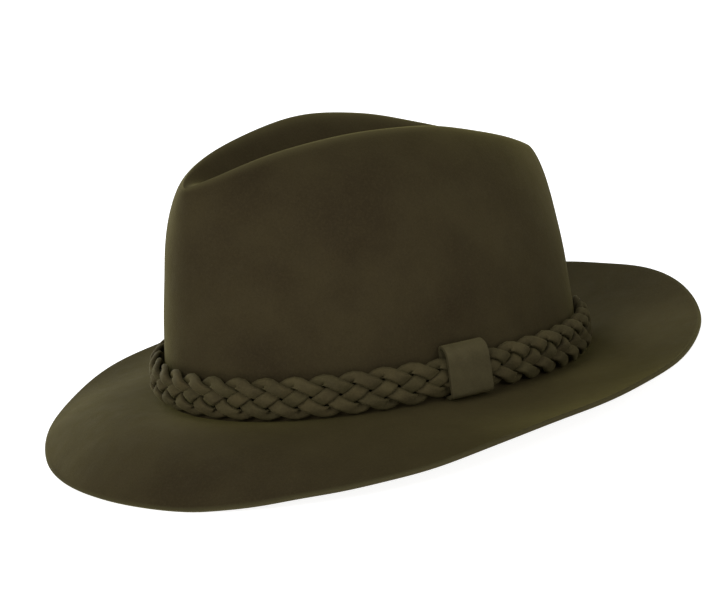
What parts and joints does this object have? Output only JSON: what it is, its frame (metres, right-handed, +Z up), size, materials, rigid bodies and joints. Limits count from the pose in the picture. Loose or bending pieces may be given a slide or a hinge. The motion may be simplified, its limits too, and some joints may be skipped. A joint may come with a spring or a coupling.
{
  "type": "hunting hat",
  "caption": "Hunting hat of olive-brown felt: creased, front-pinched crown, brim turned down in front and up behind, flat braided suede band with a plain keeper.",
  "frame": {"origin": "on the surface that the hat rests on, under the middle of its outline", "axes": "-Y towards the front of the hat, +X towards the wearer's left, +Z up"},
  "size_m": [0.2854, 0.3234, 0.1324],
  "materials": {
    "felt": "short-napped fur felt, dark olive brown, matte",
    "braid_suede": "suede laces, olive brown, matte nap with darker edges",
    "keeper_suede": "plain suede, olive brown, matte"
  },
  "bodies": {
    "root": {"felt_body": "felt", "braid_strand_1": "braid_suede", "braid_strand_2": "braid_suede", "braid_strand_3": "braid_suede", "braid_strand_4": "braid_suede", "band_keeper": "keeper_suede"}
  },
  "joints": []
}
